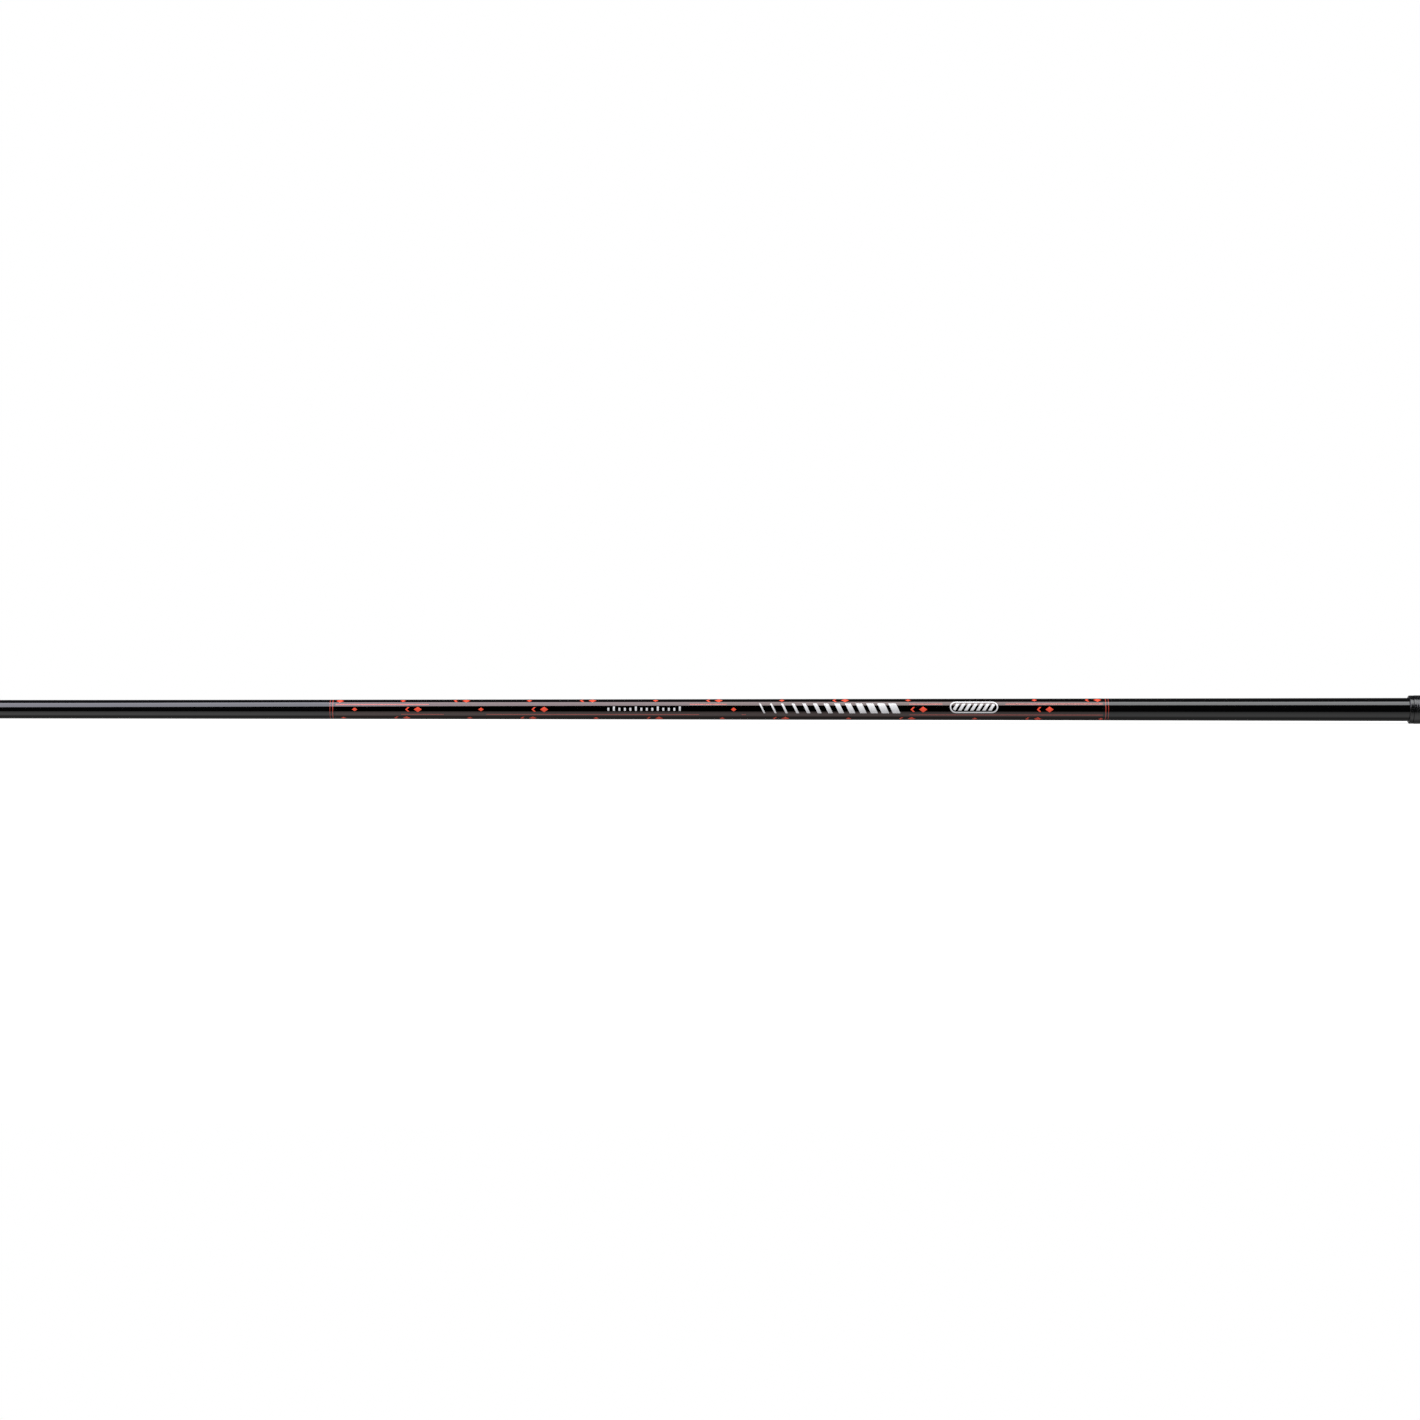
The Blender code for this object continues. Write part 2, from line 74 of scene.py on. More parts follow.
def tube_profile(base, length, outside, bore, rings, edge=0.15):
    """Distances and radii of a tube's section: out along the outside, back along the bore.

    The two radii are functions of the distance from the tube's base. Its four edges are rounded: at
    edge (1 - cos t) from an end, the wall's face stands back by edge (1 - sin t).
    """
    turn = np.linspace(0, TURN / 4, 6)
    start = edge * (1 - np.cos(turn))
    middle = np.linspace(2 * edge, length - 2 * edge, rings)
    out = np.concatenate([start, middle, length - start[::-1]])
    back = out[::-1]
    set_back = edge * (1 - np.sin(turn))
    set_back = np.concatenate([set_back, np.zeros(rings), set_back[::-1]])
    radius = np.concatenate([outside(out) - set_back, bore(back) + set_back])
    return base + np.concatenate([out, back]), radius


def spun(name, along, radius, sides=160, closed=True):
    """A section carried round the pole's axis, as a mesh object.

    With a the angle from the front upwards, x = -along, y = -radius cos a and z = radius sin a. The
    radius is one number for each ring, or one for each ring and side. The section runs forwards on
    outer faces and backwards on inner ones. A ring of no radius is one point that closes the shape.
    """
    along = np.asarray(along, float)
    rings = len(along)
    radius = np.broadcast_to(np.reshape(radius, (rings, -1)), (rings, sides))
    angle = np.arange(sides) * (TURN / sides)
    points = [-along[:, None] + 0 * radius, -radius * np.cos(angle), radius * np.sin(angle)]
    is_point = radius.max(axis=1) == 0
    kept = np.ones((rings, sides), bool)
    kept[is_point, 1:] = False
    index = np.cumsum(kept).reshape(rings, sides) - 1
    index[is_point] = index[is_point, :1]
    here = np.arange(rings if closed else rings - 1)
    there = (here + 1) % rings
    ahead = np.roll(index, -1, axis=1)
    corners = np.stack([index[here], ahead[here], ahead[there], index[there]], axis=-1).reshape(-1, 4)
    fan_out = corners[:, 0] == corners[:, 1]
    fan_in = corners[:, 2] == corners[:, 3]
    faces = corners[~fan_out & ~fan_in].tolist()
    faces += corners[fan_out][:, [0, 2, 3]].tolist()
    faces += corners[fan_in][:, [0, 1, 2]].tolist()
    mesh = bpy.data.meshes.new(name)
    mesh.from_pydata((np.stack(points, axis=-1)[kept] * MM).tolist(), [], faces)
    mesh.shade_smooth()
    mesh.set_sharp_from_angle(angle=SHARP_EDGE)
    piece = bpy.data.objects.new(name, mesh)
    bpy.context.scene.collection.objects.link(piece)
    return piece


def lay_in_lanes(piece, along, radius, lanes, sides=160):
    """A map for a long tube's texture.

    The outside is cut in lengths that lie side by side over LANES_SHARE of the width, and the bore
    with the two ends takes up the rest. Each lane keeps a margin on all sides.
    """
    rings = len(along)
    steps = np.hypot(np.diff(along, append=along[0]), np.diff(radius, append=radius[0]))
    reach = np.concatenate([[0.0], np.cumsum(steps)])
    outside = rings // 2 - 1
    middles = (reach[:-1] + reach[1:]) / 2
    lane = np.minimum((middles / reach[outside] * lanes).astype(int), lanes - 1)
    lane[outside:] = lanes
    first = np.searchsorted(lane, np.arange(lanes + 1))
    last = np.append(first[1:], rings)
    start = reach[first][lane]
    length = (reach[last] - reach[first])[lane]
    left = LANES_SHARE / lanes * lane
    width = np.where(lane < lanes, LANES_SHARE / lanes, 1 - LANES_SHARE)
    side = np.arange(sides)
    u = np.stack([side, side + 1, side + 1, side], axis=-1) / sides
    u = left[:, None, None] + width[:, None, None] * (LANE_MARGIN + (1 - 2 * LANE_MARGIN) * u)
    low = (reach[:-1] - start) / length
    high = (reach[1:] - start) / length
    v = np.stack([low, low, high, high], axis=-1)
    v = LANE_END_MARGIN + (1 - 2 * LANE_END_MARGIN) * v
    v = np.broadcast_to(v[:, None, :], u.shape)
    layer = piece.data.uv_layers.new(name="OFBake")
    layer.uv.foreach_set("vector", np.stack([u, v], axis=-1).astype(np.float32).ravel())


def fit(piece, material, node, body):
    """Puts the material on the piece, and the piece on its body in the place of its solid."""
    piece.data.materials.append(material)
    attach(piece, body)
    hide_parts(node)


class Signal:
    """What one socket of a shader gives. Arithmetic on numbers adds Math nodes."""

    def __init__(self, tree, output=None):
        self.tree = tree
        self.output = output

    def node(self, kind, settings, sockets, output=0):
        """Adds a node: its settings first, then the values or links of its sockets."""
        made = self.tree.nodes.new(kind)
        for key, value in settings.items():
            setattr(made, key, value)
        for key, value in sockets.items():
            if isinstance(value, Signal):
                self.tree.links.new(value.output, made.inputs[key])
            else:
                made.inputs[key].default_value = value
        return Signal(self.tree, made.outputs[output]) if made.outputs else None

    def beside(self, output):
        """Another output of the same node."""
        return Signal(self.tree, self.output.node.outputs[output])

    def maths(self, operation, *values):
        """What a Math node makes of these values."""
        return self.node("ShaderNodeMath", {"operation": operation}, dict(enumerate(values)))

    def __add__(self, other):
        return self.maths("ADD", self, other)

    __radd__ = __add__

    def __sub__(self, other):
        return self.maths("SUBTRACT", self, other)

    def __rsub__(self, other):
        return self.maths("SUBTRACT", other, self)

    def __mul__(self, other):
        return self.maths("MULTIPLY", self, other)

    __rmul__ = __mul__

    def __truediv__(self, other):
        return self.maths("DIVIDE", self, other)

    def __lt__(self, other):
        return self.maths("LESS_THAN", self, other)

    def __gt__(self, other):
        return self.maths("GREATER_THAN", self, other)

    def __abs__(self):
        return self.maths("ABSOLUTE", self)

    def sine(self):
        return self.maths("SINE", self)

    def lesser(self, other):
        return self.maths("MINIMUM", self, other)

    def greater(self, other):
        return self.maths("MAXIMUM", self, other)

    def whole(self):
        """The whole number at or below this one."""
        return self.maths("FLOOR", self)

    def over_whole(self):
        """What this number has over the whole number below it."""
        return self.maths("FRACT", self)

    def with_side(self, other):
        """The long side of the right triangle whose short sides are this and the other."""
        return self.maths("SQRT", self * self + other * other)

    def between(self, low, high):
        """1 where the number is between low and high, else 0."""
        return (self > low) * (self < high)

    def ramp(self, start, end, low=0.0, high=1.0):
        """Low up to start, high from end, and smoothly from one to the other between them."""
        sockets = {0: self, 1: start, 2: end, 3: low, 4: high}
        return self.node("ShaderNodeMapRange", {"interpolation_type": "SMOOTHSTEP"}, sockets)

    def mixed(self, low, high):
        """One colour where this is 0 and the other where it is 1."""
        sockets = {0: self, 6: low, 7: high}
        return self.node("ShaderNodeMix", {"data_type": "RGBA"}, sockets, 2)

    def tinted(self, colour):
        """The colour times this number, which may be over 1."""
        settings = {"data_type": "RGBA", "blend_type": "MULTIPLY"}
        return self.node("ShaderNodeMix", settings, {0: 1.0, 6: colour, 7: self}, 2)

    def noise(self, scale, detail=2.0, stretch=(1, 1, 1)):
        """Noise from 0 to 1 over this vector, with grains of about 1 / scale metres."""
        stretched = self.node("ShaderNodeMapping", {}, {0: self, 3: stretch})
        sockets = {"Vector": stretched, "Scale": scale, "Detail": detail}
        return self.node("ShaderNodeTexNoise", {}, sockets)

    def chance(self):
        """A number from 0 to 1 by chance, the same for the same input."""
        return self.node("ShaderNodeTexWhiteNoise", {"noise_dimensions": "1D"}, {"W": self})

    def relief(self, depth):
        """A normal from this height, which is 1 at depth mm above 0."""
        sockets = {"Height": self, "Distance": depth * MM, "Strength": 1.0}
        return self.node("ShaderNodeBump", {}, sockets)


def new_finish(name):
    """An empty material, and three signals: the place, the mm from the butt end, the angle round."""
    material = bpy.data.materials.new(name)
    material.use_nodes = True
    material.node_tree.nodes.clear()
    place = Signal(material.node_tree).node("ShaderNodeTexCoord", {}, {}, "Object")
    x = place.node("ShaderNodeSeparateXYZ", {}, {0: place})
    along = x * (-1 / MM)
    angle = place.maths("ARCTAN2", x.beside(2), 0 - x.beside(1))
    return material, place, along, angle


def coat(place, **sockets):
    """Ends a material with a Principled shader; a socket's name has _ for its spaces."""
    named = {key.replace("_", " "): value for key, value in sockets.items()}
    shader = place.node("ShaderNodeBsdfPrincipled", {}, named)
    place.node("ShaderNodeOutputMaterial", {}, {0: shader})


def scratches(place, lengthwise, across, cut):
    """Hair scratches: 1 on thin lines along the pole where stretched noise passes its middle."""
    lines = place.noise(1.0, 1.0, (lengthwise, across, across))
    return abs(lines - 0.5).ramp(0.0, cut, 1.0, 0.0) * place.noise(45.0, 1.0).ramp(0.52, 0.68)


printed, place, along, angle = new_finish("printed_gloss_lacquer")
PRINT_START = 253.0
PRINT_END = 812.0
PRINT_RADIUS = 8.0
arc = angle * PRINT_RADIUS
in_print = along.between(PRINT_START, PRINT_END)

# Light grey marks on the front: a row of ticks, slanted bars that get narrower, and a striped plaque.
TICK_PITCH = 4.0
LONG_TICK_PITCH = 16.0
BARS_START = 400.0
BARS_END = 507.0
BAR_PITCH = 8.2
PLAQUE_ALONG = 347.0
PLAQUE_ARC = 1.9
PLAQUE_STRIPE_PITCH = 4.4


def patch(start, end, middle, half):
    """1 from start to end along the print, and up to half mm either way from middle round it."""
    return along.between(start, end) * (abs(arc - middle) < half)


tick = ((along / TICK_PITCH).over_whole() * TICK_PITCH).between(0.5, 1.9)
short_tick = tick * (abs(arc - 0.1) < 1.2)
long_tick = ((along / LONG_TICK_PITCH).over_whole() * LONG_TICK_PITCH).between(0.5, 1.9)
grey_ticks = patch(559.0, 616.0, 0.6, 1.75) * (short_tick + long_tick).lesser(1.0)
slant = along - 0.45 * arc
bars_at = slant.between(BARS_START, BARS_END) * (abs(arc - 0.95) < 3.9)
bar_width = slant.ramp(BARS_START, BARS_END, 5.6, 1.2)
grey_bars = bars_at * ((slant / BAR_PITCH).over_whole() * BAR_PITCH < bar_width)
plaque_end = (abs(along - PLAQUE_ALONG) - 13.0).greater(0.0)
plaque_reach = plaque_end.with_side(arc - PLAQUE_ARC)
plaque_rim = plaque_reach.between(3.6, 4.6)
plaque_slant = (along - PLAQUE_ALONG + 0.6 * (arc - PLAQUE_ARC)) / PLAQUE_STRIPE_PITCH + 0.28
plaque_lines = (plaque_reach < 2.7) * (plaque_slant.over_whole() < 0.56)
grey = grey_ticks.greater(grey_bars).greater(plaque_rim + plaque_lines)
clear_of_grey = (1 - patch(394.0, 513.0, 0.7, 5.3)) * (1 - patch(324.0, 370.0, 3.55, 7.35))
clear_of_grey = clear_of_grey * (1 - patch(554.0, 621.0, 0.6, 4.0))

# Orange-red marks in six rows round the blank: a lozenge, a chevron and a small lozenge, every 92 mm.
ROWS = 6
MARKS_PITCH = 92.0


def in_rows(rows_round):
    """For rows counted round the blank: which row this is, and the mm round from its middle."""
    row = rows_round.whole()
    from_middle = (rows_round - row - 0.5) * (TURN * PRINT_RADIUS / ROWS)
    return row.maths("WRAP", row, ROWS, 0.0), from_middle


row, row_arc = in_rows(angle * (ROWS / TURN) + 0.5)
step = (along / MARKS_PITCH + row * 0.382).over_whole() * MARKS_PITCH
fold = abs(row_arc)
lozenge = (abs(step - 16.0) / 2.9 + fold / 2.2) < 1.0
chevron = (abs(step - 24.5 + fold) < 0.7) * (fold < 1.8)
small_lozenge = (abs(step - 62.0) / 2.0 + fold / 1.5) < 1.0
red = (lozenge + chevron + small_lozenge) * in_print * clear_of_grey

# Pinstripes half a row from the marks, broken by chance, and a pair of rings at each end of the print.
STRIPE_LENGTH = 31.0
stripe_row, stripe_arc = in_rows(angle * (ROWS / TURN))
stripe = (along / STRIPE_LENGTH + stripe_row * 0.27).whole()
stripe_drawn = (stripe * 7.3 + stripe_row * 31.7).chance() < 0.62
hairlines = (abs(stripe_arc) < 0.22) * stripe_drawn * in_print * clear_of_grey
for print_end, outwards in ((PRINT_START, -1), (PRINT_END, 1)):
    for gap, half_width in ((2.0, 0.3), (4.0, 0.2)):
        hairlines += abs(along - (print_end + outwards * gap)) < half_width
hairlines = hairlines.lesser(1.0)

ink_wear = place.noise(900.0, 3.0).ramp(0.3, 0.75, 1.0, 0.82)
flakes = place.noise(5200.0, 1.0).ramp(0.4, 0.75)
pearl = flakes.mixed((0.052, 0.043, 0.042, 1), (0.075, 0.058, 0.056, 1))
black = in_print.mixed((0.0012, 0.0012, 0.0014, 1), pearl)
colour = (hairlines * ink_wear * 0.6).mixed(black, (0.60, 0.085, 0.06, 1))
colour = (red * ink_wear).mixed(colour, (0.78, 0.08, 0.04, 1))
colour = (grey * ink_wear).mixed(colour, (0.60, 0.60, 0.62, 1))
WRAP_PITCH = 1.9
wrap = (along * (TURN / WRAP_PITCH) - angle).sine()
peel = place.noise(650.0, 1.0)
height = peel * 0.8 + wrap * 0.05 + (red + grey + hairlines) * 0.12
lines = scratches(place, 22.0, 2600.0, 0.012)
smudges = place.noise(70.0, 3.0).ramp(0.45, 0.75)
coat(
    place,
    Base_Color=colour,
    Metallic=in_print * (1 - hairlines * 0.6).lesser(1 - red) * (1 - grey),
    Roughness=0.055 + smudges * 0.03 + lines * 0.16 + (red + grey) * 0.03,
    IOR=1.5,
    Normal=height.relief(0.006),
)

butt_along, butt_section_radius = tube_profile(BUTT_BASE, BUTT_LENGTH, butt_radius, butt_bore, 129)
butt_blank = spun("butt_blank", butt_along, butt_section_radius)
lay_in_lanes(butt_blank, butt_along, butt_section_radius, 4)
fit(butt_blank, printed, "butt_section", "butt")

# Collar
# One moulding in black ABS: a round-edged collar that covers the blank's end, and behind it a skirt
# with an inside thread for the cap, glued into the blank's bore with epoxy.

COLLAR_REAR = 26.9
COLLAR_FRONT = 29.7
COLLAR_RADIUS = 10.3
COLLAR_COUNTERBORE = 8.6
SKIRT_SEAT = 28.8
SKIRT_OUTSIDE = 7.424
SKIRT_FRONT = 41.825
SKIRT_BORE = 6.223
THREAD_PITCH = 2.0
THREAD_START = 28.5
THREAD_SIDES = 96
GROOVE_FRONT = 36.2
GROOVE_DEPTH = 0.55
PARTING_LINE = 0.012


def rounded(corners, steps=6):
    """A section with its corners rounded: rows of distance, radius and fillet, all in mm.

    For a corner P whose neighbours lie towards unit vectors a and b, the arc runs between P + a t and
    P + b t, where t is the fillet over the tangent of half the angle between them, on the circle about
    P + fillet / sine of that half along their bisector.
    """
    points = []
    for (ax, ay, _), (px, py, fillet), (bx, by, _) in zip(
        corners[-1:] + corners[:-1], corners, corners[1:] + corners[:1], strict=True
    ):
        if not fillet:
            points.append([[px, py]])
            continue
        corner = np.array([px, py])
        a = np.array([ax, ay]) - corner
        b = np.array([bx, by]) - corner
        a = a / np.hypot(*a)
        b = b / np.hypot(*b)
        half = math.acos(float(np.clip(a @ b, -1, 1))) / 2
        bisector = (a + b) / np.hypot(*(a + b))
        centre = corner + bisector * fillet / math.sin(half)
        start = corner + a * fillet / math.tan(half) - centre
        end = corner + b * fillet / math.tan(half) - centre
        share = np.linspace(0, 1, steps + 1)[:, None]
        opening = math.pi - 2 * half
        spread = (np.sin((1 - share) * opening) * start + np.sin(share * opening) * end) / math.sin(opening)
        points.append(centre + spread)
    section = np.concatenate(points)
    return section[:, 0], section[:, 1]


def thread_rise(along, sides, first, last, half_root, half_crest, fade):
    """Height of a helical ridge or groove over a grid of rings and sides, as a share from 0 to 1.

    The middle of turn t lies THREAD_PITCH t from the thread's start, where t is a whole number plus the
    angle over a full turn. The flanks rise from half_root to half_crest from that middle, and the ends
    rise and fall over fade turns.
    """
    angle = np.arange(sides) / sides - 0.25
    place = (np.asarray(along)[:, None] - THREAD_START) / THREAD_PITCH
    turn = np.round(place - angle) + angle
    off = np.abs(place - turn) * THREAD_PITCH
    flank = np.clip((half_root - off) / (half_root - half_crest), 0, 1)
    ends = np.clip(np.minimum(turn - first, last - turn) / fade, 0, 1)
    return flank * ends


plastic, place, along, angle = new_finish("black_moulded_plastic")
grain = place.noise(1500.0, 3.0)
swirl = place.noise(120.0, 2.0, (1.0, 2.5, 2.5))
parting = abs(abs(angle) - TURN / 4) < PARTING_LINE
rear_wear = along.ramp(0.4, 2.4, 1.0, 0.0) * place.noise(800.0, 3.0).ramp(0.42, 0.62)
nicks = scratches(place, 3400.0, 60.0, 0.015)
dull = swirl.ramp(0.4, 0.7)
colour = (rear_wear * 0.8).mixed((0.0032, 0.0032, 0.0036, 1), (0.022, 0.022, 0.024, 1))
colour = (nicks * 0.5).mixed(colour, (0.03, 0.03, 0.032, 1))
coat(
    place,
    Base_Color=colour,
    Roughness=0.21 + dull * 0.06 + rear_wear * 0.25 + nicks * 0.15,
    IOR=1.53,
    Normal=(grain * 0.6 + parting * 0.8).relief(0.012),
)

collar_along, collar_even = rounded(
    [
        (COLLAR_REAR, 8.0, 0),
        (COLLAR_REAR, COLLAR_RADIUS, 0.15),
        (COLLAR_FRONT, COLLAR_RADIUS, 1.1),
        (COLLAR_FRONT, COLLAR_COUNTERBORE, 0.1),
        (SKIRT_SEAT, COLLAR_COUNTERBORE, 0),
        (SKIRT_SEAT, SKIRT_OUTSIDE, 0.1),
        (SKIRT_FRONT, SKIRT_OUTSIDE, 0.3),
        (SKIRT_FRONT, SKIRT_BORE, 0),
    ],
    16,
)
# The rings of both threads lie one side's share of the pitch apart, so every side cuts them alike.
bore_along = np.arange(GROOVE_FRONT, COLLAR_REAR, -THREAD_PITCH / THREAD_SIDES)
bore_along = np.concatenate([[SKIRT_FRONT], bore_along, [COLLAR_REAR]])
groove = thread_rise(
    bore_along, THREAD_SIDES, first=-1.5, last=3.5, half_root=0.558, half_crest=0.375, fade=0.04
)
bore_radius = SKIRT_BORE + GROOVE_DEPTH * groove
collar_even = np.repeat(collar_even[:-1, None], THREAD_SIDES, axis=1)
collar_radius = np.concatenate([collar_even, bore_radius])
collar_along = np.concatenate([collar_along[:-1], bore_along])
collar = spun("butt_collar_moulding", collar_along, collar_radius, THREAD_SIDES)
fit(collar, plastic, "butt_collar", "butt")

# Front bands
# Fine thread wound tightly round the front end of each outer section, and soaked in clear lacquer
# that has set hard. They stop the thin ends from splitting where the next section locks.

BAND_SETBACK = 1.2
BAND_THICKNESS = 0.4
BAND_ROUNDING = 0.24
BUTT_BAND_COVERS = 20.0
MIDDLE_BAND_COVERS = 16.0
BAND_THREAD = 0.26
GLUE = 0.1
PLAY = 0.15
MIDDLE_BASE = 38.625
MIDDLE_LENGTH = 1025.275
MIDDLE_WALL = 0.8
MIDDLE_LOCK = 85.0
MIDDLE_NARROWS_BY = 1.4


def middle_radius(from_base):
    """The base follows the bore that locks it, less PLAY; from there the blank tapers evenly."""
    from_base = np.asarray(from_base, float)
    lock = butt_bore(BUTT_LENGTH - MIDDLE_LOCK + np.minimum(from_base, MIDDLE_LOCK)) - PLAY
    share = np.clip((from_base - MIDDLE_LOCK) / (MIDDLE_LENGTH - MIDDLE_LOCK), 0, 1)
    return lock - MIDDLE_NARROWS_BY * share


def wound_band(name, base, length, radius, covered):
    """A thin sleeve that follows the section's taper, with its four edges rounded."""
    front = length - BAND_SETBACK
    rear = front - covered
    inside_rear = float(radius(rear)) + GLUE
    inside_front = float(radius(front)) + GLUE
    section = [
        (base + rear, inside_rear, 0.04),
        (base + rear, inside_rear + BAND_THICKNESS, BAND_ROUNDING),
        (base + front, inside_front + BAND_THICKNESS, BAND_ROUNDING),
        (base + front, inside_front, 0.04),
    ]
    return spun(name, *rounded(section))


wound, place, along, angle = new_finish("lacquered_thread")
thread_lay = (along * (TURN / BAND_THREAD) - angle).sine()
pooled = place.noise(160.0, 2.0).ramp(0.35, 0.7)
colour = thread_lay.ramp(-1.0, 1.0).mixed((0.002, 0.0018, 0.0018, 1), (0.0085, 0.0075, 0.0075, 1))
coat(
    place,
    Base_Color=colour,
    Roughness=0.07 + pooled * 0.05,
    IOR=1.5,
    Normal=(thread_lay * 0.4 + pooled * 1.2).relief(0.012),
)

butt_band = wound_band(
    "butt_wound_band", BUTT_BASE, BUTT_LENGTH, butt_radius, BUTT_BAND_COVERS
)
fit(butt_band, wound, "butt_front_band", "butt")
middle_band = wound_band(
    "middle_wound_band", MIDDLE_BASE, MIDDLE_LENGTH, middle_radius, MIDDLE_BAND_COVERS
)
fit(middle_band, wound, "middle_front_band", "middle")

# Middle and tip sections
# The two blanks that slide out. They are rolled like the outer one but only ground and dipped, so the
# ridges that the wrapping tape left still show, and their bases are rubbed bright where they lock.

TIP_LENGTH = 1048.475
TIP_LOCK = 70.0
TIP_TUBE_LENGTH = 620.0
TIP_WALL = 0.8
TIP_END_RADIUS = 0.8
TIP_SIDES = 96
TAPE_PITCH = 1.6


def middle_bore(from_base):
    """The outside radius less an even wall."""
    return middle_radius(from_base) - MIDDLE_WALL


def tip_radius(from_base):
    """The base follows the middle section's bore, less PLAY; then it tapers evenly to the end."""
    from_base = np.asarray(from_base, float)
    lock = middle_bore(MIDDLE_LENGTH - TIP_LOCK + np.minimum(from_base, TIP_LOCK)) - PLAY
    share = np.clip((from_base - TIP_LOCK) / (TIP_LENGTH - TIP_LOCK), 0, 1)
    return lock + (TIP_END_RADIUS - lock) * share


def tip_bore(from_base):
    """The outside radius less an even wall."""
    return tip_radius(from_base) - TIP_WALL


def plain_finish(name, lock_end):
    """Satin black with tape ridges, rub lines along the pole, and a polished base up to lock_end."""
    material, place, along, angle = new_finish(name)
    ridge = abs((along / TAPE_PITCH - angle / TURN).over_whole() - 0.5) * 2.0
    rubbed = scratches(place, 9.0, 1900.0, 0.03)
    locked = (along - (MIDDLE_BASE + lock_end)).ramp(-4.0, 4.0, 1.0, 0.0)
    mottle = place.noise(240.0, 3.0, (0.3, 1.0, 1.0))
    colour = mottle.ramp(0.3, 0.7).mixed((0.0045, 0.0045, 0.005, 1), (0.0085, 0.0085, 0.009, 1))
    colour = (rubbed * 0.6).mixed(colour, (0.03, 0.03, 0.032, 1))
    coat(
        place,
        Base_Color=colour,
        Roughness=0.24 - locked * 0.12 + mottle.ramp(0.4, 0.7) * 0.06 + rubbed * 0.12,
        IOR=1.5,
        Normal=(ridge.ramp(0.0, 0.35) * (1 - locked * 0.8) + mottle * 0.3).relief(0.016),
    )
    return material


middle_along, middle_section_radius = tube_profile(
    MIDDLE_BASE, MIDDLE_LENGTH, middle_radius, middle_bore, 97
)
middle_blank = spun("middle_blank", middle_along, middle_section_radius)
lay_in_lanes(middle_blank, middle_along, middle_section_radius, 5)
middle_finish = plain_finish("satin_black_middle_blank", MIDDLE_LOCK)
fit(middle_blank, middle_finish, "middle_section", "middle")

tip_along, tip_section_radius = tube_profile(
    MIDDLE_BASE, TIP_TUBE_LENGTH, tip_radius, tip_bore, 61, 0.1
)
tip_blank = spun("tip_blank", tip_along, tip_section_radius, TIP_SIDES)
lay_in_lanes(tip_blank, tip_along, tip_section_radius, 5, TIP_SIDES)
tip_finish = plain_finish("satin_black_tip_blank", TIP_LOCK)
fit(tip_blank, tip_finish, "tip_tube", "tip")

# Solid end of the tip
# A ground rod of solid glass fibre. Its turned-down shank is glued into the front of the tip's tube.

SHANK_REAR = 580.0
SHANK_SHOULDER = 620.3
shank = float(tip_bore(TIP_TUBE_LENGTH)) - GLUE
taper = np.linspace(SHANK_SHOULDER + 0.1, TIP_LENGTH - 0.2, 41)
rod_along = np.concatenate(
    [
        [SHANK_REAR, SHANK_REAR, SHANK_REAR + 0.15, SHANK_SHOULDER, SHANK_SHOULDER],
        taper,
        [TIP_LENGTH, TIP_LENGTH],
    ]
)
rod_radius = np.concatenate(
    [
        [0.0, shank - 0.15, shank, shank, float(tip_radius(SHANK_SHOULDER)) - 0.1],
        tip_radius(taper),
        [TIP_END_RADIUS - 0.2, 0.0],
    ]
)
tip_end = spun("tip_solid_end", MIDDLE_BASE + rod_along, rod_radius, 64, False)
fit(tip_end, tip_finish, "tip_rod", "tip")

# Sleeve of the tip
# A small resin-dipped sleeve glued over the very end, with the hole that a line's cord comes out of.

SLEEVE_BASE = 1078.0
SLEEVE_FRONT = SLEEVE_BASE + 11.0
SLEEVE_STOP = SLEEVE_BASE + 9.4
CORD_HOLE_RADIUS = 0.45
resin, place, _, _ = new_finish("dipped_resin")
dip = place.noise(500.0, 2.0)
coat(
    place,
    Base_Color=dip.ramp(0.3, 0.7).mixed((0.008, 0.0078, 0.0078, 1), (0.016, 0.015, 0.015, 1)),
    Roughness=0.2 + dip * 0.12,
    IOR=1.52,
    Normal=dip.relief(0.02),
)
sleeve_section = [
    (SLEEVE_BASE, 0.925, 0),
    (SLEEVE_BASE, 1.125, 0.05),
    (SLEEVE_BASE + 1.6, 1.324, 1.2),
    (SLEEVE_STOP, 1.3, 1.0),
    (SLEEVE_FRONT, 0.9, 0.25),
    (SLEEVE_FRONT, CORD_HOLE_RADIUS, 0.12),
    (SLEEVE_STOP, CORD_HOLE_RADIUS, 0),
    (SLEEVE_STOP, 0.9, 0),
]
sleeve = spun("cord_sleeve", *rounded(sleeve_section), 64)
fit(sleeve, resin, "tip_sleeve", "tip")

# Screw cap
# Moulded in the same black ABS: a hollow body with thirteen fine turned grooves, and in front of it a
# bored spigot with three turns of thread. It unscrews to let the sections out.

